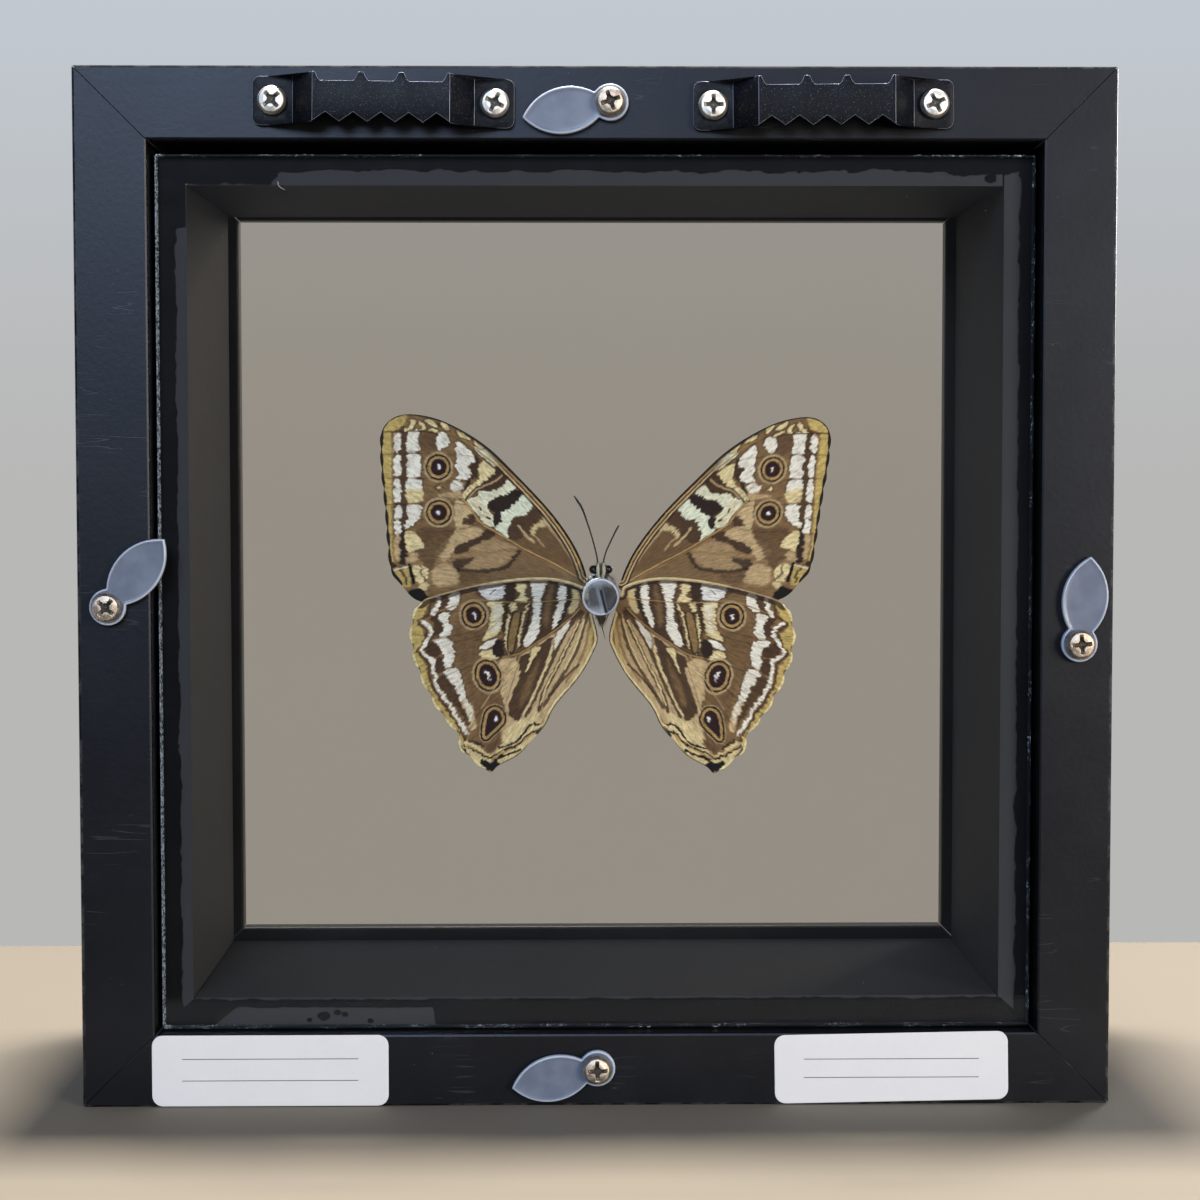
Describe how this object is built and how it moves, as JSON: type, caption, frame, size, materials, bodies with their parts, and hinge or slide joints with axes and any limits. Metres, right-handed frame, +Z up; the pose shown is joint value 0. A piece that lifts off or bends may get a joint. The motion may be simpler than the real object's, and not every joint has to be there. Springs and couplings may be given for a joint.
{
  "type": "framed butterfly specimen",
  "caption": "Square double-glass shadow box with a spread butterfly inside, sawtooth hangers and swivelling turn buttons on its back.",
  "frame": {"origin": "centre of the frame's bottom face, on which it stands", "axes": "+Z up, +Y towards the display side, -Y towards the back with the hangers, +X to the right as seen from the back"},
  "size_m": [0.193, 0.0777, 0.1938],
  "materials": {
    "black_paint": "satin black paint over wood",
    "black_board": "matt black",
    "clear_glass": "clear picture glass, ground edges",
    "blackened_steel": "blackened steel, bright at worn edges",
    "nickel_plate": "nickel-plated steel",
    "frosted_plastic": "translucent moulded plastic",
    "white_paper": "blank white paper",
    "clear_acrylic": "clear polished acrylic",
    "wing_scales": "dry wing scales, patterned brown and cream below",
    "body_hair": "dry short body hair",
    "antenna_black": "dry dark cuticle"
  },
  "bodies": {
    "frame": {"rail_top": "black_paint", "rail_bottom": "black_paint", "rail_left": "black_paint", "rail_right": "black_paint", "spacer_top": "black_board", "spacer_bottom": "black_board", "spacer_left": "black_board", "spacer_right": "black_board", "rear_glass": "clear_glass", "front_glass": "clear_glass", "hanger_left": "blackened_steel", "hanger_right": "blackened_steel", "hanger_screw_1": "nickel_plate", "hanger_screw_2": "nickel_plate", "hanger_screw_3": "nickel_plate", "hanger_screw_4": "nickel_plate", "button_screw_top": "nickel_plate", "button_screw_left": "nickel_plate", "button_screw_right": "nickel_plate", "button_screw_bottom": "nickel_plate", "label_left": "white_paper", "label_right": "white_paper", "acrylic_post": "clear_acrylic", "butterfly_body": "body_hair", "forewing_left": "wing_scales", "forewing_right": "wing_scales", "hindwing_left": "wing_scales", "hindwing_right": "wing_scales", "antenna_left": "antenna_black", "antenna_right": "antenna_black"},
    "top_button": {"turn_button_top": "frosted_plastic"},
    "left_button": {"turn_button_left": "frosted_plastic"},
    "right_button": {"turn_button_right": "frosted_plastic"},
    "bottom_button": {"turn_button_bottom": "frosted_plastic"}
  },
  "joints": [
    {"name": "top_swivel", "type": "hinge", "parent": "frame", "child": "top_button", "pos_m": [0.0025, -0.0361, 0.1869], "axis": [0, -1, 0], "range_deg": [-160, 140]},
    {"name": "left_swivel", "type": "hinge", "parent": "frame", "child": "left_button", "pos_m": [-0.0906, -0.0361, 0.0941], "axis": [0, -1, 0], "continuous": true},
    {"name": "right_swivel", "type": "hinge", "parent": "frame", "child": "right_button", "pos_m": [0.0899, -0.0361, 0.087], "axis": [0, -1, 0], "continuous": true},
    {"name": "bottom_swivel", "type": "hinge", "parent": "frame", "child": "bottom_button", "pos_m": [0, -0.0361, 0.0074], "axis": [0, -1, 0], "range_deg": [-208, 5]}
  ]
}
